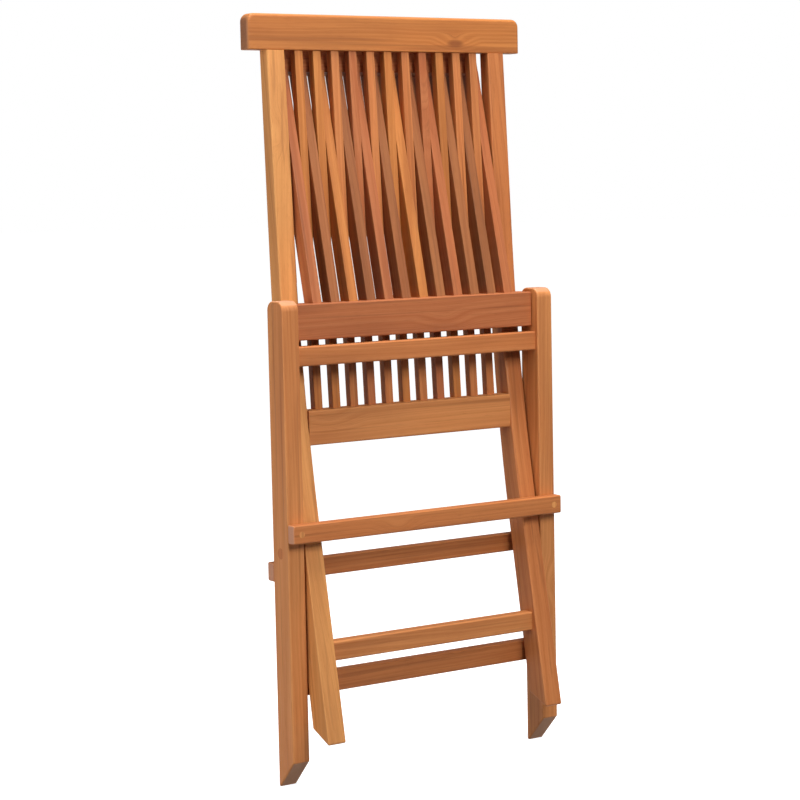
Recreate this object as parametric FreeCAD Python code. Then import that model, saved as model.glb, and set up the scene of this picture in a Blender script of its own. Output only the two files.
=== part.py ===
"""Folding garden chair in solid wood, modelled folded and standing upright.

Millimetres. +Z is up, -Y is the front and +X the sitter's left.
The origin is on the ground under the middle of the folded chair, and Z = 0 is
the lowest edge of the rear feet. The dimensions below measure Y from the centre
line of the rear legs, and save() moves each piece to the chair's own origin.

Three wooden frames fold flat against each other:
- the rear-leg frame, two short legs with a top rail, two stop bars and a stretcher
- the back frame, two long bent front legs with a crest rail, a lower back rail,
  back slats and a stretcher
- the seat, a front board, seat slats and a rear rail
Two leg bolts join the first two, and two hinge pins hold the seat in the rear legs.
"""
import FreeCAD, Part
import math
import os

from FreeCAD import Vector

# ---- driving dimensions -------------------------------------------------

ORIGIN_Y = 17.0            # middle of the folded chair's depth, from the rear legs' centre

# widths, along X
OUTER_WIDTH = 468.0        # over the rear legs, and the length of the stop bars
REAR_LEG_WIDTH = 27.0
LEG_GAP = 2.0              # between a rear leg and the front leg beside it
FRONT_LEG_WIDTH = 29.0
CREST_WIDTH = 470.0

# rear-leg frame
REAR_LEG_DEPTH = 43.0
REAR_LEG_TOP = 697.0
REAR_LEG_TOP_RADIUS = 14.0
REAR_OPEN_ANGLE = 46.2     # lean of the rear legs when the chair is open
TOP_RAIL_BOTTOM = 604.0
TOP_RAIL_HEIGHT = 28.0
TOP_RAIL_FRONT = -15.0
TOP_RAIL_THICKNESS = 20.0
STOP_BAR_HEIGHT = 27.0
STOP_BAR_THICKNESS = 17.0
FRONT_BAR_BOTTOM = 357.0   # the open front legs come to rest under this bar
BACK_BAR_BOTTOM = 296.5
REAR_STRETCHER_BOTTOM = 133.0
REAR_STRETCHER_HEIGHT = 30.0
REAR_STRETCHER_THICKNESS = 20.0

# back frame
FRONT_OPEN_ANGLE = 22.0    # how far the back frame turns when the chair is opened
FRONT_FOOT_TIP_Y = -72.0
FRONT_FOOT_DEPTH = 44.0
FRONT_EDGE_LOWER_SLOPE = 0.190
FRONT_EDGE_UPPER_SLOPE = 0.060
BACK_EDGE_LOWER_SLOPE = 0.178
BACK_EDGE_UPPER_SLOPE = 0.042
FRONT_EDGE_BEND = 575.0
BACK_EDGE_BEND = 543.0
BEND_RADIUS = 3000.0
CREST_BOTTOM = 1049.0
CREST_HEIGHT = 51.0
CREST_FRONT = 53.0
CREST_THICKNESS = 24.0
CREST_CORNER_RADIUS = 12.0
BACK_RAIL_BOTTOM = 488.0
BACK_RAIL_HEIGHT = 50.0
BACK_RAIL_FRONT = 9.5
BACK_RAIL_THICKNESS = 28.0
FRONT_STRETCHER_BOTTOM = 184.0
FRONT_STRETCHER_HEIGHT = 28.0
FRONT_STRETCHER_THICKNESS = 20.0

# slats
SLAT_PITCH = 30.2
BACK_SLAT_COUNT = 11
BACK_SLAT_WIDTH = 13.0
BACK_SLAT_THICKNESS = 13.0
BACK_SLAT_FRONT_LOW = 23.0   # front face where the slat meets the lower back rail
BACK_SLAT_FRONT_HIGH = 56.0  # front face where it meets the crest rail
SEAT_SLAT_COUNT = 12
SEAT_SLAT_WIDTH = 15.0
SEAT_SLAT_THICKNESS = 24.5

# seat
SEAT_HINGE = (2.5, 665.0)
SEAT_TILT = 13.5           # the folded seat slats lean this far back
SEAT_TOP_POINT = (-6.0, 688.0)
BOARD_BOTTOM = 640.0
BOARD_HEIGHT = 51.5
BOARD_FRONT = -8.5
BOARD_THICKNESS = 30.0
BOARD_SIDE_GAP = 1.0
REAR_SEAT_RAIL_BOTTOM = 1020.0
REAR_SEAT_RAIL_HEIGHT = 35.0
REAR_SEAT_RAIL_SIDE_GAP = 2.0

# joints and hardware
PIVOT = (0.0, 340.0)
PIVOT_BOLT_RADIUS = 4.0
HINGE_PIN_RADIUS = 4.0
RUNNING_CLEARANCE = 0.06
BOLT_HEAD_RADIUS = 8.0
BOLT_HEAD_HEIGHT = 4.0
PLUG_DEPTH = 4.0
NUT_RADIUS = 7.5
NUT_HEIGHT = 5.0
NUT_CLEARANCE = 0.5
WASHER_RADIUS = 9.0
WASHER_THICKNESS = 1.6
HINGE_PIN_IN_BOARD = 30.0
HINGE_PIN_IN_LEG = 19.0
HINGE_END_CLEARANCE = 1.0    # beyond the pin's end, at the bottom of its hole
SCREW_RADIUS = 2.0
SCREW_HEAD_RADIUS = 4.0
SCREW_HEAD_HEIGHT = 2.5
SCREW_LENGTH = 38.0
SCREW_PLUG_RADIUS = 4.5
SCREW_PLUG_DEPTH = 5.0

# joinery and finish
TENON_LENGTH = 16.0
TENON_SHOULDER = 5.0
SLAT_TENON_LENGTH = 12.0
SLAT_TENON_SHOULDER = 2.0
SLAT_RUN_ON = 3.0            # how far a slat's full section enters the rails
CREST_TENON_LENGTH = 30.0
CREST_TENON_THICKNESS = 12.0
TENON_ROOT = 10.0            # overlap that joins a tenon to its own piece
EDGE_RADIUS = 2.5
SLAT_EDGE_RADIUS = 1.0
CREST_EDGE_RADIUS = 5.0
CREST_BOTTOM_EDGE_RADIUS = 1.5
SAME_PLACE = 0.01            # two heights or widths closer than this are one

# ---- worked-out places --------------------------------------------------

REAR_LEAN = math.radians(REAR_OPEN_ANGLE)
FRONT_LEAN = math.radians(FRONT_OPEN_ANGLE)
# rounding takes this much off the pointed end of a rear foot
REAR_TIP_LOSS = EDGE_RADIUS * (math.tan(REAR_LEAN) + 1 / math.cos(REAR_LEAN) - 1)
REAR_HEEL_Z = -REAR_TIP_LOSS
REAR_TOE_Z = REAR_HEEL_Z + REAR_LEG_DEPTH * math.tan(REAR_LEAN)
# height of the leg bolts above the ground when open, the same over all four feet
PIVOT_GROUND = (
    (PIVOT[1] - REAR_HEEL_Z) * math.cos(REAR_LEAN)
    - REAR_LEG_DEPTH / 2 * math.sin(REAR_LEAN)
)
FRONT_FOOT_TIP_Z = PIVOT[1] - (
    PIVOT_GROUND - FRONT_FOOT_TIP_Y * math.sin(FRONT_LEAN)
) / math.cos(FRONT_LEAN)
FRONT_HEEL_Z = FRONT_FOOT_TIP_Z + FRONT_FOOT_DEPTH * math.tan(FRONT_LEAN)
OUTER_X = OUTER_WIDTH / 2
REAR_LEG_INNER_X = OUTER_X - REAR_LEG_WIDTH
FRONT_LEG_OUTER_X = REAR_LEG_INNER_X - LEG_GAP
FRONT_LEG_INNER_X = FRONT_LEG_OUTER_X - FRONT_LEG_WIDTH
REAR_LEG_FRONT = -REAR_LEG_DEPTH / 2
REAR_LEG_BACK = REAR_LEG_DEPTH / 2
NUT_INNER_X = FRONT_LEG_INNER_X + PLUG_DEPTH + NUT_CLEARANCE
NUT_POCKET_RADIUS = NUT_RADIUS + NUT_CLEARANCE
BACK_RAIL_TOP = BACK_RAIL_BOTTOM + BACK_RAIL_HEIGHT
SIDES = (("left", 1), ("right", -1))

os.makedirs("parts", exist_ok=True)


# ---- helpers ------------------------------------------------------------

def save(shape, node):
    """Write one sub-part, placed about the chair's origin, to its own STEP file."""
    placed = shape.copy()
    placed.translate(Vector(0, -ORIGIN_Y, 0))
    placed.exportStep("parts/%s.step" % node)


def box(x0, x1, y0, y1, z0, z1):
    """Box between two opposite corners."""
    return Part.makeBox(x1 - x0, y1 - y0, z1 - z0, Vector(x0, y0, z0))


def rod(radius, x0, x1, y, z):
    """Cylinder along X."""
    return Part.makeCylinder(radius, x1 - x0, Vector(x0, y, z), Vector(1, 0, 0))


def cross_rod(radius, x, y0, y1, z):
    """Cylinder along Y."""
    return Part.makeCylinder(radius, y1 - y0, Vector(x, y0, z), Vector(0, 1, 0))


def eased(shape, radius, keep_sharp=None):
    """Round every edge of a shape, apart from those that keep_sharp names."""
    edges = [e for e in shape.Edges if keep_sharp is None or not keep_sharp(e)]
    return shape.makeFillet(radius, edges)


def rounded_outline(corners):
    """Closed wire in the YZ plane from (y, z, radius) corners, with tangent arcs."""
    count = len(corners)
    starts, ends, arcs = [], [], []
    for i, (y, z, radius) in enumerate(corners):
        here = Vector(0, y, z)
        before = Vector(0, *corners[i - 1][:2]).sub(here).normalize()
        after = Vector(0, *corners[(i + 1) % count][:2]).sub(here).normalize()
        half = before.getAngle(after) / 2
        reach = radius / math.tan(half)
        start = here + before * reach
        end = here + after * reach
        middle_ray = (before + after).normalize()
        centre = here + middle_ray * (radius / math.sin(half))
        middle = centre - middle_ray * radius
        starts.append(start)
        ends.append(end)
        arcs.append(Part.Arc(start, middle, end).toShape() if radius else None)
    edges = []
    for i in range(count):
        if arcs[i] is not None:
            edges.append(arcs[i])
        edges.append(Part.makeLine(ends[i], starts[(i + 1) % count]))
    return Part.Wire(edges)


def along_x(corners, x0, x1):
    """Solid with a YZ outline, running from x0 to x1."""
    face = Part.Face(rounded_outline(corners))
    solid = face.extrude(Vector(x1 - x0, 0, 0))
    solid.translate(Vector(x0, 0, 0))
    return solid


def lies_across(edge):
    """True for an edge that stays at one X, such as those of a rail's end faces."""
    first = edge.Vertexes[0]
    return all(abs(v.X - first.X) < SAME_PLACE for v in edge.Vertexes)


def at_height(z):
    """Test for edges that lie at one height."""
    return lambda edge: all(abs(v.Z - z) < SAME_PLACE for v in edge.Vertexes)


def rail_tenon(side, inner_x, y0, y1, z0, z1, grow=0.0):
    """Tenon on one end of a cross rail, or its mortise when grown to be cut out."""
    x_start = inner_x - grow
    x_end = inner_x + TENON_LENGTH
    low, high = sorted((side * x_start, side * x_end))
    shoulder = TENON_SHOULDER
    return box(low, high, y0 + shoulder, y1 - shoulder, z0 + shoulder, z1 - shoulder)


def tenoned_rail(inner_x, y0, y1, z0, z1):
    """Cross rail with eased long edges and a tenon at each end."""
    body = eased(box(-inner_x, inner_x, y0, y1, z0, z1), EDGE_RADIUS, lies_across)
    tenons = [rail_tenon(side, inner_x, y0, y1, z0, z1, EDGE_RADIUS) for _, side in SIDES]
    return body.fuse(tenons)


# ---- rear-leg frame -----------------------------------------------------

TOP_RAIL_BOX = (
    TOP_RAIL_FRONT,
    TOP_RAIL_FRONT + TOP_RAIL_THICKNESS,
    TOP_RAIL_BOTTOM,
    TOP_RAIL_BOTTOM + TOP_RAIL_HEIGHT,
)
REAR_STRETCHER_BOX = (
    -REAR_STRETCHER_THICKNESS / 2,
    REAR_STRETCHER_THICKNESS / 2,
    REAR_STRETCHER_BOTTOM,
    REAR_STRETCHER_BOTTOM + REAR_STRETCHER_HEIGHT,
)
FRONT_BAR_MIDDLE = FRONT_BAR_BOTTOM + STOP_BAR_HEIGHT / 2
BACK_BAR_MIDDLE = BACK_BAR_BOTTOM + STOP_BAR_HEIGHT / 2
REAR_LEG_MIDDLE_X = OUTER_X - REAR_LEG_WIDTH / 2


def bar_screw(side, front):
    """One stop-bar screw: a head under the plug and a shank into the rear leg."""
    x = side * REAR_LEG_MIDDLE_X
    direction = 1 if front else -1
    z = FRONT_BAR_MIDDLE if front else BACK_BAR_MIDDLE
    face = direction * (REAR_LEG_FRONT - STOP_BAR_THICKNESS)
    head_start = face + direction * SCREW_PLUG_DEPTH
    head_end = head_start + direction * SCREW_HEAD_HEIGHT
    tip = head_start + direction * SCREW_LENGTH
    head = cross_rod(SCREW_HEAD_RADIUS, x, *sorted((head_start, head_end)), z)
    shank = cross_rod(SCREW_RADIUS, x, *sorted((head_start, tip)), z)
    return head.fuse(shank)


def bar_plug(side, front):
    """Wooden plug that covers a stop-bar screw, flush with the bar's face."""
    x = side * REAR_LEG_MIDDLE_X
    direction = 1 if front else -1
    z = FRONT_BAR_MIDDLE if front else BACK_BAR_MIDDLE
    face = direction * (REAR_LEG_FRONT - STOP_BAR_THICKNESS)
    inner = face + direction * SCREW_PLUG_DEPTH
    return cross_rod(SCREW_PLUG_RADIUS, x, *sorted((face, inner)), z)


def stop_bar(front):
    """Bar screwed across the rear legs, which the back frame folds against."""
    z0 = FRONT_BAR_BOTTOM if front else BACK_BAR_BOTTOM
    y0 = REAR_LEG_FRONT - STOP_BAR_THICKNESS if front else REAR_LEG_BACK
    blank = box(-OUTER_X, OUTER_X, y0, y0 + STOP_BAR_THICKNESS, z0, z0 + STOP_BAR_HEIGHT)
    bar = eased(blank, EDGE_RADIUS)
    holes = [bar_screw(side, front) for _, side in SIDES]
    holes += [bar_plug(side, front) for _, side in SIDES]
    return bar.cut(holes)


def pivot_bolt(side):
    """Leg bolt: head sunk in the rear leg's outer face, shank through both legs."""
    head_x = side * (OUTER_X - PLUG_DEPTH)
    head = rod(BOLT_HEAD_RADIUS, *sorted((head_x, head_x - side * BOLT_HEAD_HEIGHT)), *PIVOT)
    shank = rod(PIVOT_BOLT_RADIUS, *sorted((head_x, side * NUT_INNER_X)), *PIVOT)
    return head.fuse(shank)


def bolt_plug(side):
    """Wooden plug over the bolt head, flush with the rear leg's outer face."""
    outer = side * OUTER_X
    inner = side * (OUTER_X - PLUG_DEPTH)
    return rod(BOLT_HEAD_RADIUS, *sorted((outer, inner)), *PIVOT)


def nut_plug(side):
    """Wooden plug over the nut, flush with the front leg's inner face."""
    outer = side * FRONT_LEG_INNER_X
    inner = side * (FRONT_LEG_INNER_X + PLUG_DEPTH)
    return rod(NUT_POCKET_RADIUS, *sorted((outer, inner)), *PIVOT)


def pivot_nut(side):
    """Round lock nut on the bolt's end, in the front leg's pocket."""
    ends = sorted((side * NUT_INNER_X, side * (NUT_INNER_X + NUT_HEIGHT)))
    return rod(NUT_RADIUS, *ends, *PIVOT).cut(rod(PIVOT_BOLT_RADIUS, *ends, *PIVOT))


def pivot_washer(side):
    """Washer that keeps the rear and front legs apart."""
    middle = side * (REAR_LEG_INNER_X - LEG_GAP / 2)
    x0 = middle - WASHER_THICKNESS / 2
    x1 = middle + WASHER_THICKNESS / 2
    disc = rod(WASHER_RADIUS, x0, x1, *PIVOT)
    return disc.cut(rod(PIVOT_BOLT_RADIUS, x0, x1, *PIVOT))


def rear_leg(side):
    """Short leg with a rounded top and a foot cut that is level when open."""
    corners = [
        (REAR_LEG_BACK, REAR_HEEL_Z, 0.0),
        (REAR_LEG_FRONT, REAR_TOE_Z, 0.0),
        (REAR_LEG_FRONT, REAR_LEG_TOP, REAR_LEG_TOP_RADIUS),
        (REAR_LEG_BACK, REAR_LEG_TOP, REAR_LEG_TOP_RADIUS),
    ]
    low, high = sorted((side * REAR_LEG_INNER_X, side * OUTER_X))
    leg = along_x(corners, low, high)
    leg = eased(leg, EDGE_RADIUS)
    cuts = [
        rail_tenon(side, REAR_LEG_INNER_X, *TOP_RAIL_BOX),
        rail_tenon(side, REAR_LEG_INNER_X, *REAR_STRETCHER_BOX),
        pivot_bolt(side),
        bolt_plug(side),
        hinge_hole(side),
        bar_screw(side, True),
        bar_screw(side, False),
    ]
    return leg.cut(cuts)


def hinge_hole(side):
    """Blind hole for the seat's hinge pin, with running clearance."""
    mouth = side * REAR_LEG_INNER_X
    bottom = side * (REAR_LEG_INNER_X + HINGE_PIN_IN_LEG + HINGE_END_CLEARANCE)
    return rod(HINGE_PIN_RADIUS + RUNNING_CLEARANCE, *sorted((mouth, bottom)), *SEAT_HINGE)


def make_rear_leg_frame():
    """Write the nodes of the rear-leg frame."""
    for name, side in SIDES:
        save(rear_leg(side), "rear_leg_" + name)
        save(pivot_bolt(side), "pivot_bolt_" + name)
        save(pivot_washer(side), "pivot_washer_" + name)
        save(pivot_nut(side), "pivot_nut_" + name)
    save(tenoned_rail(REAR_LEG_INNER_X, *TOP_RAIL_BOX), "rear_frame_top_rail")
    save(tenoned_rail(REAR_LEG_INNER_X, *REAR_STRETCHER_BOX), "rear_stretcher")
    save(stop_bar(True), "front_stop_bar")
    save(stop_bar(False), "back_stop_bar")
    pairs = [(side, front) for _, side in SIDES for front in (True, False)]
    save(Part.makeCompound([bar_screw(*pair) for pair in pairs]), "stop_bar_screws")
    save(Part.makeCompound([bar_plug(*pair) for pair in pairs]), "stop_bar_plugs")
    save(Part.makeCompound([bolt_plug(side) for _, side in SIDES]), "bolt_head_plugs")


# ---- back frame ---------------------------------------------------------

BACK_RAIL_BOX = (
    BACK_RAIL_FRONT,
    BACK_RAIL_FRONT + BACK_RAIL_THICKNESS,
    BACK_RAIL_BOTTOM,
    BACK_RAIL_TOP,
)


def front_edge_y(z):
    """Front edge of the lower, straight stretch of a front leg."""
    return FRONT_FOOT_TIP_Y + FRONT_EDGE_LOWER_SLOPE * (z - FRONT_FOOT_TIP_Z)


def back_edge_y(z):
    """Back edge of the lower, straight stretch of a front leg."""
    return FRONT_FOOT_TIP_Y + FRONT_FOOT_DEPTH + BACK_EDGE_LOWER_SLOPE * (z - FRONT_HEEL_Z)


FRONT_STRETCHER_MIDDLE = FRONT_STRETCHER_BOTTOM + FRONT_STRETCHER_HEIGHT / 2
FRONT_STRETCHER_Y = (front_edge_y(FRONT_STRETCHER_MIDDLE) + back_edge_y(FRONT_STRETCHER_MIDDLE)) / 2
FRONT_STRETCHER_BOX = (
    FRONT_STRETCHER_Y - FRONT_STRETCHER_THICKNESS / 2,
    FRONT_STRETCHER_Y + FRONT_STRETCHER_THICKNESS / 2,
    FRONT_STRETCHER_BOTTOM,
    FRONT_STRETCHER_BOTTOM + FRONT_STRETCHER_HEIGHT,
)
CREST_TENON_Y = CREST_FRONT + CREST_THICKNESS / 2


def crest_tenon(side):
    """Tenon on top of a front leg that stands in the crest rail."""
    low, high = sorted((side * FRONT_LEG_INNER_X, side * FRONT_LEG_OUTER_X))
    half = CREST_TENON_THICKNESS / 2
    return box(
        low + TENON_SHOULDER,
        high - TENON_SHOULDER,
        CREST_TENON_Y - half,
        CREST_TENON_Y + half,
        CREST_BOTTOM - TENON_ROOT,
        CREST_BOTTOM + CREST_TENON_LENGTH,
    )


def front_leg(side):
    """Long leg, bent above the pivot and tapered from the foot to the crest rail."""
    upper_front = front_edge_y(FRONT_EDGE_BEND)
    upper_back = back_edge_y(BACK_EDGE_BEND)
    top_front = upper_front + FRONT_EDGE_UPPER_SLOPE * (CREST_BOTTOM - FRONT_EDGE_BEND)
    top_back = upper_back + BACK_EDGE_UPPER_SLOPE * (CREST_BOTTOM - BACK_EDGE_BEND)
    corners = [
        (FRONT_FOOT_TIP_Y + FRONT_FOOT_DEPTH, FRONT_HEEL_Z, 0.0),
        (FRONT_FOOT_TIP_Y, FRONT_FOOT_TIP_Z, 0.0),
        (upper_front, FRONT_EDGE_BEND, BEND_RADIUS),
        (top_front, CREST_BOTTOM, 0.0),
        (top_back, CREST_BOTTOM, 0.0),
        (upper_back, BACK_EDGE_BEND, BEND_RADIUS),
    ]
    low, high = sorted((side * FRONT_LEG_INNER_X, side * FRONT_LEG_OUTER_X))
    leg = eased(along_x(corners, low, high), EDGE_RADIUS, at_height(CREST_BOTTOM))
    leg = leg.fuse(crest_tenon(side))
    pocket_end = NUT_INNER_X + NUT_HEIGHT + NUT_CLEARANCE
    pocket = rod(NUT_POCKET_RADIUS, *sorted((side * FRONT_LEG_INNER_X, side * pocket_end)), *PIVOT)
    cuts = [
        rail_tenon(side, FRONT_LEG_INNER_X, *BACK_RAIL_BOX),
        rail_tenon(side, FRONT_LEG_INNER_X, *FRONT_STRETCHER_BOX),
        rod(PIVOT_BOLT_RADIUS + RUNNING_CLEARANCE, low, high, *PIVOT),
        pocket,
    ]
    return leg.cut(cuts)


def back_slat(index):
    """One upright back slat, with tenons into the crest rail and the lower back rail."""
    x = (index - (BACK_SLAT_COUNT - 1) / 2) * SLAT_PITCH
    rise = CREST_BOTTOM - BACK_RAIL_TOP
    run = BACK_SLAT_FRONT_HIGH - BACK_SLAT_FRONT_LOW
    lean = math.degrees(math.atan2(run, rise))
    length = math.hypot(rise, run)
    half = BACK_SLAT_WIDTH / 2
    shoulder = SLAT_TENON_SHOULDER
    slat = slat_blank(x, BACK_SLAT_WIDTH, BACK_SLAT_THICKNESS, length)
    tenon = box(
        x - half + shoulder,
        x + half - shoulder,
        shoulder,
        BACK_SLAT_THICKNESS - shoulder,
        -SLAT_TENON_LENGTH,
        length + SLAT_TENON_LENGTH,
    )
    slat = slat.fuse(tenon)
    slat.rotate(Vector(0, 0, 0), Vector(1, 0, 0), -lean)
    slat.translate(Vector(0, BACK_SLAT_FRONT_LOW, BACK_RAIL_TOP))
    return slat


def slat_blank(x, width, thickness, length):
    """Upright slat with eased long edges; its ends run on past the rails' faces."""
    half = width / 2
    run_on = SLAT_RUN_ON
    blank = box(x - half, x + half, 0, thickness, -run_on, length + run_on)
    long_edges = [e for e in blank.Edges if e.Length > length]
    return blank.makeFillet(SLAT_EDGE_RADIUS, long_edges)


def crest_rail(slats):
    """Top rail of the back, with rounded upper corners and mortises underneath."""
    half = CREST_WIDTH / 2
    back = CREST_FRONT + CREST_THICKNESS
    top = CREST_BOTTOM + CREST_HEIGHT
    blank = box(-half, half, CREST_FRONT, back, CREST_BOTTOM, top)
    corners = [e for e in blank.Edges if lies_across(e) and at_height(top)(e)]
    rail = blank.makeFillet(CREST_CORNER_RADIUS, corners)
    rail = eased(rail, CREST_EDGE_RADIUS, at_height(CREST_BOTTOM))
    low_edges = [e for e in rail.Edges if at_height(CREST_BOTTOM)(e)]
    rail = rail.makeFillet(CREST_BOTTOM_EDGE_RADIUS, low_edges)
    return rail.cut([crest_tenon(side) for _, side in SIDES] + slats)


def make_back_frame():
    """Write the nodes of the back frame."""
    slats = [back_slat(i) for i in range(BACK_SLAT_COUNT)]
    for i, slat in enumerate(slats):
        save(slat, "back_slat_%02d" % (i + 1))
    for name, side in SIDES:
        save(front_leg(side), "front_leg_" + name)
    save(crest_rail(slats), "crest_rail")
    save(tenoned_rail(FRONT_LEG_INNER_X, *BACK_RAIL_BOX).cut(slats), "lower_back_rail")
    save(tenoned_rail(FRONT_LEG_INNER_X, *FRONT_STRETCHER_BOX), "front_stretcher")
    save(Part.makeCompound([nut_plug(side) for _, side in SIDES]), "nut_plugs")


# ---- seat ---------------------------------------------------------------

BOARD_BACK = BOARD_FRONT + BOARD_THICKNESS
BOARD_TOP = BOARD_BOTTOM + BOARD_HEIGHT
BOARD_END_X = REAR_LEG_INNER_X - BOARD_SIDE_GAP
SEAT_RAIL_END_X = FRONT_LEG_INNER_X - REAR_SEAT_RAIL_SIDE_GAP


def on_seat(shape):
    """Move a shape from the seat's own frame to its folded place.

    In the seat's own frame the seat's top is the plane Y = 0, and Z = 0 is at
    SEAT_TOP_POINT.
    """
    placed = shape.copy()
    placed.rotate(Vector(0, 0, 0), Vector(1, 0, 0), -SEAT_TILT)
    placed.translate(Vector(0, *SEAT_TOP_POINT))
    return placed


def along_seat(z):
    """Distance along the seat's top at which it reaches height z."""
    return (z - SEAT_TOP_POINT[1]) / math.cos(math.radians(SEAT_TILT))


def seat_slat(index):
    """One seat slat, with tenons into the front board and the rear rail."""
    x = (index - (SEAT_SLAT_COUNT - 1) / 2) * SLAT_PITCH
    half = SEAT_SLAT_WIDTH / 2
    shoulder = SLAT_TENON_SHOULDER
    length = along_seat(REAR_SEAT_RAIL_BOTTOM)
    slat = slat_blank(x, SEAT_SLAT_WIDTH, SEAT_SLAT_THICKNESS, length)
    tenon = box(
        x - half + shoulder,
        x + half - shoulder,
        shoulder,
        SEAT_SLAT_THICKNESS - shoulder,
        -SLAT_TENON_LENGTH,
        length + SLAT_TENON_LENGTH,
    )
    return on_seat(slat.fuse(tenon))


def hinge_pin(side):
    """Seat hinge pin: fast in the front board and turning in the rear leg."""
    x0 = side * (REAR_LEG_INNER_X + HINGE_PIN_IN_LEG)
    x1 = side * (BOARD_END_X - HINGE_PIN_IN_BOARD)
    return rod(HINGE_PIN_RADIUS, *sorted((x0, x1)), *SEAT_HINGE)


def front_board(slats):
    """Front board of the seat, hung on the hinge pins between the rear legs."""
    board = box(-BOARD_END_X, BOARD_END_X, BOARD_FRONT, BOARD_BACK, BOARD_BOTTOM, BOARD_TOP)
    board = eased(board, EDGE_RADIUS)
    return board.cut([hinge_pin(side) for _, side in SIDES] + slats)


def rear_seat_rail(slats):
    """Rail across the seat's rear end, as thick as the seat slats."""
    start = along_seat(REAR_SEAT_RAIL_BOTTOM)
    blank = box(
        -SEAT_RAIL_END_X,
        SEAT_RAIL_END_X,
        0,
        SEAT_SLAT_THICKNESS,
        start,
        start + REAR_SEAT_RAIL_HEIGHT,
    )
    return on_seat(eased(blank, EDGE_RADIUS)).cut(slats)


def make_seat():
    """Write the nodes of the seat."""
    slats = [seat_slat(i) for i in range(SEAT_SLAT_COUNT)]
    for i, slat in enumerate(slats):
        save(slat, "seat_slat_%02d" % (i + 1))
    for name, side in SIDES:
        save(hinge_pin(side), "seat_hinge_pin_" + name)
    save(front_board(slats), "seat_front_board")
    save(rear_seat_rail(slats), "rear_seat_rail")


make_rear_leg_frame()
make_back_frame()
make_seat()
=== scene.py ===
"""Looks of the folding garden chair: oiled teak on every wooden piece, zinc-plated
steel on the hidden fasteners, a white studio and the camera.

Metres. The CAD model is the fixed frame, and all its pieces are shown as they are.
"""

import math
import random

import bmesh
import bpy
from mathutils import Matrix, Vector

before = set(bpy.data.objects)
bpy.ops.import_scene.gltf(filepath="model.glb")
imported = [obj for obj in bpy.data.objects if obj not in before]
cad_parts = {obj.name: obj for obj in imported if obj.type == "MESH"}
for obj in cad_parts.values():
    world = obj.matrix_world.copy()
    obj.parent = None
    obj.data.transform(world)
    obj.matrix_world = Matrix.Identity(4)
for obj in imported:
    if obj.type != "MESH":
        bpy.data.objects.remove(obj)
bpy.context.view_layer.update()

# ---- camera -------------------------------------------------------------

CAMERA_PLACE = (-1.7878, -2.7361, 0.8622)
CAMERA_AZIMUTH = math.radians(32.917)   # how far the view turns from +Y towards +X
CAMERA_PITCH = math.radians(5.612)      # how far it looks down
CAMERA_ROLL = math.radians(-1.203)
CAMERA_LENS = 100.72
CAMERA_SENSOR = 36.0
CAMERA_REACH = 100.0


def make_camera():
    """Camera at the viewing angle of the folded chair, from its front and right."""
    data = bpy.data.cameras.new("camera")
    data.sensor_width = CAMERA_SENSOR
    data.lens = CAMERA_LENS
    data.clip_end = CAMERA_REACH
    camera = bpy.data.objects.new("camera", data)
    bpy.context.scene.collection.objects.link(camera)
    level = math.cos(CAMERA_PITCH)
    forward = Vector((
        math.sin(CAMERA_AZIMUTH) * level,
        math.cos(CAMERA_AZIMUTH) * level,
        -math.sin(CAMERA_PITCH),
    ))
    flat_right = Vector((math.cos(CAMERA_AZIMUTH), -math.sin(CAMERA_AZIMUTH), 0.0))
    flat_up = flat_right.cross(forward)
    right = flat_right * math.cos(CAMERA_ROLL) + flat_up * math.sin(CAMERA_ROLL)
    up = flat_up * math.cos(CAMERA_ROLL) - flat_right * math.sin(CAMERA_ROLL)
    turn = Matrix((right, up, -forward)).transposed()
    camera.matrix_world = Matrix.Translation(CAMERA_PLACE) @ turn.to_4x4()
    bpy.context.scene.camera = camera


# ---- node-tree helpers --------------------------------------------------


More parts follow.
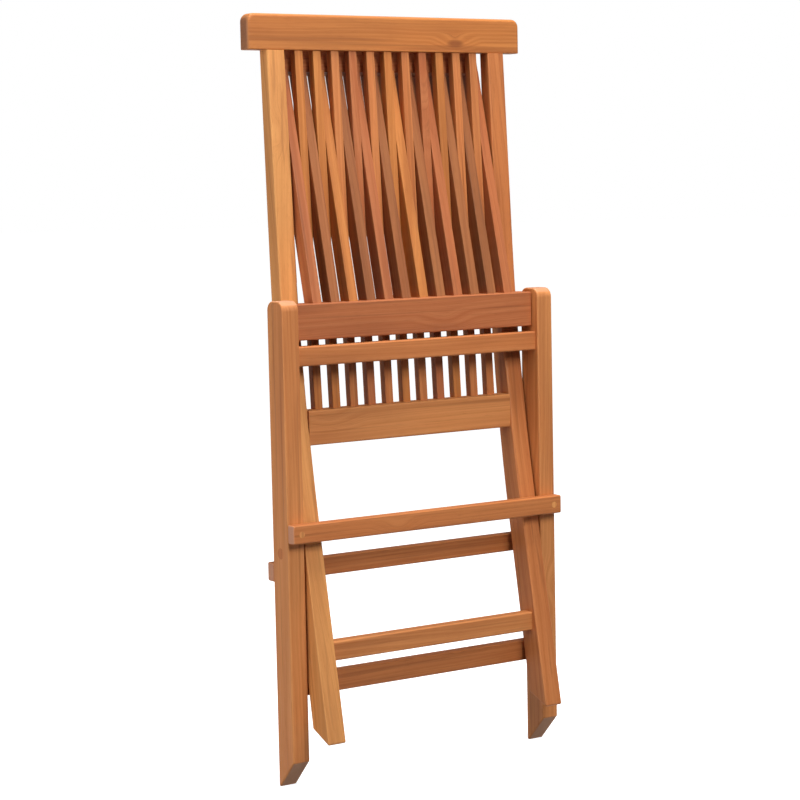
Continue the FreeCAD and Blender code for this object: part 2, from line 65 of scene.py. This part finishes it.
class Tree:
    """Thin helper that adds and links shader nodes."""

    def __init__(self, material):
        material.use_nodes = True
        self.tree = material.node_tree
        self.tree.nodes.clear()

    def add(self, kind, inputs=(), **settings):
        """A new node. inputs maps an input's name or number to a value or an output."""
        node = self.tree.nodes.new(kind)
        for name, value in settings.items():
            setattr(node, name, value)
        for name, value in dict(inputs).items():
            if isinstance(value, bpy.types.NodeSocket):
                self.tree.links.new(value, node.inputs[name])
            else:
                node.inputs[name].default_value = value
        return node

    def math(self, operation, a, b=0.0):
        """Result of a Math node."""
        return self.add("ShaderNodeMath", {0: a, 1: b}, operation=operation).outputs[0]

    def vector(self, operation, a, b=(0.0, 0.0, 0.0)):
        """A Vector Math node."""
        return self.add("ShaderNodeVectorMath", {0: a, 1: b}, operation=operation)

    def moved(self, operation, a, b):
        """Vector result of a Vector Math node."""
        return self.vector(operation, a, b).outputs[0]

    def turned(self, vector, direction, kind="POINT"):
        """A vector turned so that a grain direction lies along the texture's w axis."""
        turn = Vector(direction).normalized().rotation_difference(Vector(UPRIGHT)).to_euler("XYZ")
        node = self.add("ShaderNodeMapping", {"Vector": vector, "Rotation": turn}, vector_type=kind)
        return node.outputs[0]

    def noise(self, place, stretch, detail=2.0, roughness=0.5):
        """Noise over a place stretched by (u, v, w) per metre."""
        inputs = {
            "Vector": self.moved("MULTIPLY", place, stretch),
            "Scale": 1.0,
            "Detail": detail,
            "Roughness": roughness,
        }
        return self.add("ShaderNodeTexNoise", inputs, noise_dimensions="3D")

    def drift(self, place, stretch, reach):
        """Offset that wanders by reach (u, v, w) over a stretched place."""
        colour = self.noise(place, stretch).outputs["Color"]
        centred = self.moved("SUBTRACT", colour, (0.5, 0.5, 0.5))
        return self.moved("MULTIPLY", centred, reach)

    def step(self, value, low, high, out_low=0.0, out_high=1.0):
        """Value smoothly remapped from low..high."""
        inputs = {
            "Value": value,
            "From Min": low,
            "From Max": high,
            "To Min": out_low,
            "To Max": out_high,
        }
        return self.add("ShaderNodeMapRange", inputs, interpolation_type="SMOOTHSTEP").outputs[0]

    def mix(self, factor, a, b, blend="MIX"):
        """Colour mix of two colours."""
        node = self.add("ShaderNodeMix", {0: factor, 6: a, 7: b}, data_type="RGBA", blend_type=blend)
        return node.outputs[2]

    def surface(self, inputs, kind="ShaderNodeBsdfPrincipled"):
        """A shader and the material output it feeds."""
        shader = self.add(kind, inputs)
        self.add("ShaderNodeOutputMaterial", {"Surface": shader.outputs[0]})


def rgba(red, green, blue):
    """Colour from 0-255 display values to the linear values that nodes use."""
    def linear(value):
        share = value / 255.0
        return share / 12.92 if share <= 0.04045 else ((share + 0.055) / 1.055) ** 2.4
    return (linear(red), linear(green), linear(blue), 1.0)


# ---- teak ---------------------------------------------------------------

ALONG_X = (1.0, 0.0, 0.0)
UPRIGHT = (0.0, 0.0, 1.0)
BACK_SLAT_GRAIN = (0.0, 0.072, 1.0)
SEAT_GRAIN = (0.0, 0.231, 1.0)
FRONT_LEG_GRAIN = (0.0, 0.13, 1.0)

# each tone is (light early wood, middle, dark late wood, end grain)
TONES = {
    "straw": (rgba(228, 160, 92), rgba(208, 138, 74), rgba(158, 94, 48), rgba(196, 146, 112)),
    "gold": (rgba(202, 128, 64), rgba(178, 104, 46), rgba(126, 66, 28), rgba(136, 92, 66)),
    "honey": (rgba(216, 144, 84), rgba(196, 122, 66), rgba(144, 80, 40), rgba(198, 146, 116)),
    "amber": (rgba(204, 128, 72), rgba(182, 106, 54), rgba(128, 68, 32), rgba(196, 142, 114)),
    "russet": (rgba(186, 112, 66), rgba(166, 90, 48), rgba(112, 56, 30), rgba(186, 130, 104)),
    "umber": (rgba(166, 102, 56), rgba(144, 82, 42), rgba(94, 50, 26), rgba(188, 132, 108)),
}
RED_BLUSH = (0.98, 0.88, 0.80, 1.0)   # what the redder patches multiply the colour by

# how fast each layer changes, per metre across the grain twice and along it
WANDER_STRETCH = (7.0, 7.0, 1.6)
RIPPLE_STRETCH = (60.0, 60.0, 9.0)
STRENGTH_STRETCH = (44.0, 44.0, 6.0)
FIBRE_STRETCH = (520.0, 520.0, 11.0)
PORE_STRETCH = (1500.0, 1500.0, 45.0)
PATCH_STRETCH = (24.0, 24.0, 3.0)
STREAK_STRETCH = (130.0, 130.0, 2.4)
BLUSH_STRETCH = (14.0, 14.0, 4.0)

WANDER_REACH = (0.030, 0.030, 0.0)     # how far the rings wander off, slowly
RIPPLE_REACH = (0.0022, 0.0022, 0.0)   # and how far they ripple
SHIFT_REACH = 4.0                      # each piece is cut from its own place in the wood
PITH_NEAR = 0.05
PITH_FAR = 0.11
PITH_SLANT = 0.035
RING_NARROW = 0.0030
RING_WIDE = 0.0048
BANDS_PER_METRE = 190.0
BAND_PUSH = 4.5         # rings by which the broad bands crowd the late-wood lines
LINE_SHARPNESS = 8.0

SWIRL_STRETCH = 2.4     # how much longer than wide a swirl is
SWIRL_RISE = 0.012      # how far the rings bend at its heart
# swirls in the grain: centre, half width, and whether there is a knot at the heart
SWIRLS = {
    "crest_rail": ((0.118, 0.036, 1.062), 0.022, True),
    "lower_back_rail": ((-0.140, -0.0075, 0.522), 0.030, False),
    "front_stop_bar": ((-0.060, -0.0555, 0.362), 0.024, False),
    "seat_front_board": ((0.050, -0.0255, 0.652), 0.028, False),
    "rear_leg_left": ((0.2205, -0.0385, 0.250), 0.020, False),
    "front_leg_right": ((-0.1905, 0.030, 0.930), 0.020, False),
}


def swirl_field(t, spot, direction, centre, size):
    """1 at the heart of a swirl in the grain, falling to 0 around it, longer along the grain."""
    offset = t.turned(t.moved("SUBTRACT", spot, centre), direction)
    across = 1.0 / size
    offset = t.moved("MULTIPLY", offset, (across, across, across / SWIRL_STRETCH))
    return t.step(t.vector("LENGTH", offset).outputs["Value"], 0.0, 1.0, 1.0, 0.0)


def pith_distance(t, place, noise_place, pick):
    """Distance from the pith, which runs past the piece at a slight slant."""
    wander = t.drift(noise_place, WANDER_STRETCH, WANDER_REACH)
    ripple = t.drift(noise_place, RIPPLE_STRETCH, RIPPLE_REACH)
    ring_place = t.moved("ADD", place, wander)
    ring_place = t.moved("ADD", ring_place, ripple)
    angle = pick.uniform(0, 2 * math.pi)
    far = pick.uniform(PITH_NEAR, PITH_FAR)
    pith = (far * math.cos(angle), far * math.sin(angle), 0.0)
    slant = (pick.uniform(-PITH_SLANT, PITH_SLANT), pick.uniform(-PITH_SLANT, PITH_SLANT), 0.0)
    split = t.add("ShaderNodeSeparateXYZ", {0: place})
    along = t.add("ShaderNodeVectorMath", {0: slant, "Scale": split.outputs[2]}, operation="SCALE")
    from_pith = t.moved("SUBTRACT", ring_place, along.outputs[0])
    from_pith = t.moved("SUBTRACT", from_pith, pith)
    from_pith = t.moved("MULTIPLY", from_pith, (1.0, 1.0, 0.0))
    return t.vector("LENGTH", from_pith).outputs["Value"]


def ring_pattern(t, radius, swirl, noise_place, pick):
    """Broad bands, and thin late-wood lines of which some are strong and most faint."""
    inputs = {
        "W": t.math("MULTIPLY", radius, BANDS_PER_METRE),
        "Scale": 1.0,
        "Detail": 3.0,
        "Roughness": 0.6,
    }
    bands = t.add("ShaderNodeTexNoise", inputs, noise_dimensions="1D").outputs[0]
    spacing = pick.uniform(RING_NARROW, RING_WIDE)
    turns = t.math("DIVIDE", radius, spacing)
    turns = t.math("ADD", turns, t.math("MULTIPLY", bands, BAND_PUSH))
    line = t.math("POWER", t.math("FRACT", turns), LINE_SHARPNESS)
    strength = t.step(t.noise(noise_place, STRENGTH_STRETCH).outputs[0], 0.45, 0.72)
    if swirl is not None:
        strength = t.math("ADD", strength, swirl)
    return bands, t.math("MULTIPLY", line, strength)


def long_grain_tint(t, tone, layers, bands, line, fibre, pores):
    """Colour of the wood along its grain."""
    light, middle, dark, _ = TONES[tone]
    patches = t.noise(layers, PATCH_STRETCH).outputs[0]
    streaks = t.noise(layers, STREAK_STRETCH).outputs[0]
    blush = t.noise(layers, BLUSH_STRETCH).outputs[0]
    tint = t.mix(t.step(bands, 0.30, 0.70, 0.15, 0.85), light, middle)
    tint = t.mix(t.step(patches, 0.40, 0.72, 0.0, 0.34), tint, dark)
    redder = t.mix(1.0, tint, RED_BLUSH, "MULTIPLY")
    tint = t.mix(t.step(blush, 0.40, 0.70, 0.0, 0.55), tint, redder)
    tint = t.mix(t.step(streaks, 0.56, 0.72, 0.0, 0.46), tint, dark)
    tint = t.mix(t.math("MULTIPLY", line, 0.34), tint, dark)
    tint = t.mix(t.step(fibre, 0.50, 0.80, 0.0, 0.22), tint, dark)
    tint = t.mix(t.step(fibre, 0.22, 0.46, 0.16, 0.0), tint, light)
    return t.mix(t.math("MULTIPLY", pores, 0.24), tint, dark)


def end_grain_tint_and_edge_highlight(t, tint, normal, direction, tone):
    """The colour made greyer on end grain, and a little lighter on the eased edges as a painted
    highlight.
    """
    light, _, _, end_grain = TONES[tone]
    facing = t.turned(normal, direction, "VECTOR")
    facing = t.vector("ABSOLUTE", facing).outputs[0]
    sides = t.add("ShaderNodeSeparateXYZ", {0: facing})
    end = t.step(sides.outputs[2], 0.50, 0.66)
    tint = t.mix(end, tint, t.mix(0.75, tint, end_grain))
    # painted highlight: where the normal leans off every axis, on the eased edges, the colour is
    # mixed towards the light tone
    across = t.math("MAXIMUM", sides.outputs[0], sides.outputs[1])
    largest = t.math("MAXIMUM", across, sides.outputs[2])
    painted_edge_highlight = t.step(largest, 0.80, 0.97, 0.34, 0.0)
    return t.mix(painted_edge_highlight, tint, light)


def teak(name, direction, tone, seed):
    """Oiled teak for one piece: growth rings round a far pith, fibres, pores and end grain."""
    pick = random.Random(seed)
    material = bpy.data.materials.new("teak_" + name)
    t = Tree(material)
    coordinates = t.add("ShaderNodeTexCoord")
    spot = coordinates.outputs["Object"]
    shift = tuple(pick.uniform(-SHIFT_REACH, SHIFT_REACH) for _ in range(3))
    place = t.turned(spot, direction)
    noise_place = t.moved("ADD", place, shift)

    radius = pith_distance(t, place, noise_place, pick)
    swirl = None
    knotted = False
    if name in SWIRLS:
        centre, size, knotted = SWIRLS[name]
        swirl = swirl_field(t, spot, direction, centre, size)
        radius = t.math("ADD", radius, t.math("MULTIPLY", swirl, SWIRL_RISE))
    bands, line = ring_pattern(t, radius, swirl, noise_place, pick)
    fibre = t.noise(noise_place, FIBRE_STRETCH, 3.0, 0.6).outputs[0]
    pores = t.step(t.noise(noise_place, PORE_STRETCH, 1.0).outputs[0], 0.60, 0.74)

    tint = long_grain_tint(t, tone, noise_place, bands, line, fibre, pores)
    if knotted:
        dark = TONES[tone][2]
        tint = t.mix(t.step(swirl, 0.72, 0.97, 0.0, 0.75), tint, dark)
    tint = end_grain_tint_and_edge_highlight(t, tint, coordinates.outputs["Normal"], direction, tone)

    roughness = t.step(fibre, 0.25, 0.75, 0.48, 0.64)
    roughness = t.math("ADD", roughness, t.math("MULTIPLY", pores, 0.12))
    height = t.math("SUBTRACT", t.math("MULTIPLY", fibre, 0.6), t.math("MULTIPLY", pores, 0.5))
    height = t.math("SUBTRACT", height, t.math("MULTIPLY", line, 0.4))
    bump = t.add("ShaderNodeBump", {"Height": height, "Strength": 0.35, "Distance": 0.0004})
    t.surface({
        "Base Color": tint,
        "Roughness": roughness,
        "Normal": bump.outputs[0],
        "Specular IOR Level": 0.30,
    })
    return material


# ---- zinc ---------------------------------------------------------------

BLOTCH_STRETCH = (400.0, 400.0, 400.0)
ZINC_LIGHT = rgba(176, 178, 180)
ZINC_DARK = rgba(140, 143, 146)


def zinc():
    """Dull zinc plating with faint blotches."""
    material = bpy.data.materials.new("zinc_plated_steel")
    t = Tree(material)
    place = t.add("ShaderNodeTexCoord").outputs["Object"]
    blotches = t.noise(place, BLOTCH_STRETCH, 3.0).outputs[0]
    t.surface({
        "Base Color": t.mix(t.step(blotches, 0.3, 0.7), ZINC_LIGHT, ZINC_DARK),
        "Metallic": 1.0,
        "Roughness": t.step(blotches, 0.3, 0.7, 0.34, 0.5),
    })
    return material


# ---- which wood each piece is cut from ----------------------------------

PIECE_LOOKS = {
    "rear_leg_left": (UPRIGHT, "honey"),
    "rear_leg_right": (UPRIGHT, "honey"),
    "rear_frame_top_rail": (ALONG_X, "amber"),
    "rear_stretcher": (ALONG_X, "amber"),
    "front_stop_bar": (ALONG_X, "amber"),
    "back_stop_bar": (ALONG_X, "amber"),
    "stop_bar_plugs": (UPRIGHT, "straw"),
    "bolt_head_plugs": (UPRIGHT, "amber"),
    "nut_plugs": (UPRIGHT, "amber"),
    "front_leg_left": (FRONT_LEG_GRAIN, "amber"),
    "front_leg_right": (FRONT_LEG_GRAIN, "straw"),
    "crest_rail": (ALONG_X, "gold"),
    "lower_back_rail": (ALONG_X, "honey"),
    "front_stretcher": (ALONG_X, "honey"),
    "seat_front_board": (ALONG_X, "russet"),
    "rear_seat_rail": (ALONG_X, "russet"),
}
BACK_SLAT_TONES = (
    "gold", "gold", "amber", "russet", "amber", "gold",
    "amber", "russet", "gold", "amber", "amber",
)
SEAT_SLAT_TONES = (
    "russet", "umber", "gold", "umber", "russet", "umber",
    "gold", "umber", "russet", "umber", "umber", "russet",
)
for number, slat_tone in enumerate(BACK_SLAT_TONES, 1):
    PIECE_LOOKS["back_slat_%02d" % number] = (BACK_SLAT_GRAIN, slat_tone)
for number, slat_tone in enumerate(SEAT_SLAT_TONES, 1):
    PIECE_LOOKS["seat_slat_%02d" % number] = (SEAT_GRAIN, slat_tone)


def dress(piece, material):
    """Put a material on every material slot of a CAD piece."""
    if not piece.material_slots:
        piece.data.materials.append(material)
    for slot in piece.material_slots:
        slot.material = material


def dress_pieces():
    """Give every CAD piece its own wood, or zinc."""
    plating = zinc()
    for seed, name in enumerate(sorted(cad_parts)):
        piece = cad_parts[name]
        if name in PIECE_LOOKS:
            direction, tone = PIECE_LOOKS[name]
            dress(piece, teak(name, direction, tone, seed))
        else:
            dress(piece, plating)


# ---- studio -------------------------------------------------------------

FLOOR_RADIUS = 40.0
FLOOR_SEGMENTS = 64
FLOOR_COLOUR = (0.6, 0.6, 0.6, 1.0)
FLOOR_ROUGHNESS = 0.9
FLOOR_GLOSS = 0.1
FLOOR_GLOW = 0.9
DOME_RADIUS = 60.0
DOME_SUBDIVISIONS = 4
WHITE = (1.0, 1.0, 1.0, 1.0)

AIR_BELOW = (0.05, 0.048, 0.045, 1.0)
AIR_ABOVE = (0.23, 0.23, 0.23, 1.0)
AIR_BELOW_ENDS = 0.35   # shares of the way from straight down to straight up
AIR_ABOVE_STARTS = 0.75

# soft boxes: name, place, target, side, power, and how strongly it shows in the gloss
SOFT_BOXES = (
    ("key", (0.1, -2.4, 2.1), (0.0, 0.0, 0.85), 1.3, 60.0, 1.0),
    ("top", (0.0, -0.3, 2.9), (0.0, 0.0, 1.0), 1.0, 58.0, 1.0),
    ("side", (-2.7, 0.0, 0.9), (0.0, 0.0, 0.6), 1.5, 36.0, 0.3),
)


def stage_mesh(name, mesh_maker, material):
    """A mesh of the studio, which isn't part of the chair."""
    mesh = bpy.data.meshes.new(name)
    shape = bmesh.new()
    mesh_maker(shape)
    shape.to_mesh(mesh)
    shape.free()
    piece = bpy.data.objects.new(name, mesh)
    piece.data.materials.append(material)
    bpy.context.scene.collection.objects.link(piece)
    return piece


def white_paint():
    """Plain matt white of the floor, glowing a little so that it stays white far away."""
    material = bpy.data.materials.new("studio_white")
    Tree(material).surface({
        "Base Color": FLOOR_COLOUR,
        "Roughness": FLOOR_ROUGHNESS,
        "Specular IOR Level": FLOOR_GLOSS,
        "Emission Color": WHITE,
        "Emission Strength": FLOOR_GLOW,
    })
    return material


def white_glow():
    """Evenly lit white of the backdrop."""
    material = bpy.data.materials.new("backdrop_white")
    Tree(material).surface({"Color": WHITE, "Strength": 1.0}, "ShaderNodeEmission")
    return material


def soft_box(name, place, target, side, power, gloss):
    """Square soft light at a place, turned to a target."""
    data = bpy.data.lights.new(name, "AREA")
    data.shape = "SQUARE"
    data.size = side
    data.energy = power
    data.specular_factor = gloss
    light = bpy.data.objects.new(name, data)
    bpy.context.scene.collection.objects.link(light)
    light.location = place
    light.rotation_mode = "QUATERNION"
    light.rotation_quaternion = (Vector(place) - Vector(target)).to_track_quat("Z", "Y")


def studio_air():
    """Dim light from all round, dimmer from below."""
    world = bpy.data.worlds.new("studio")
    bpy.context.scene.world = world
    world.use_nodes = True
    tree = world.node_tree
    background = tree.nodes["Background"]
    coordinates = tree.nodes.new("ShaderNodeTexCoord")
    split = tree.nodes.new("ShaderNodeSeparateXYZ")
    upward = tree.nodes.new("ShaderNodeMapRange")
    upward.inputs["From Min"].default_value = -1.0
    ramp = tree.nodes.new("ShaderNodeValToRGB")
    tree.links.new(coordinates.outputs["Generated"], split.inputs[0])
    tree.links.new(split.outputs[2], upward.inputs["Value"])
    tree.links.new(upward.outputs[0], ramp.inputs["Fac"])
    tree.links.new(ramp.outputs[0], background.inputs["Color"])
    below, above = ramp.color_ramp.elements
    below.position = AIR_BELOW_ENDS
    below.color = AIR_BELOW
    above.position = AIR_ABOVE_STARTS
    above.color = AIR_ABOVE


def make_studio():
    """White floor, white backdrop, and soft light mostly from the front and above."""
    floor = stage_mesh(
        "floor",
        lambda shape: bmesh.ops.create_circle(
            shape, cap_ends=True, segments=FLOOR_SEGMENTS, radius=FLOOR_RADIUS
        ),
        white_paint(),
    )
    floor.visible_diffuse = False
    dome = stage_mesh(
        "backdrop",
        lambda shape: bmesh.ops.create_icosphere(
            shape, subdivisions=DOME_SUBDIVISIONS, radius=DOME_RADIUS
        ),
        white_glow(),
    )
    dome.visible_diffuse = False
    dome.visible_glossy = False
    dome.visible_shadow = False
    studio_air()
    for settings in SOFT_BOXES:
        soft_box(*settings)
    bpy.context.scene.view_settings.view_transform = "Standard"


make_camera()
dress_pieces()
make_studio()
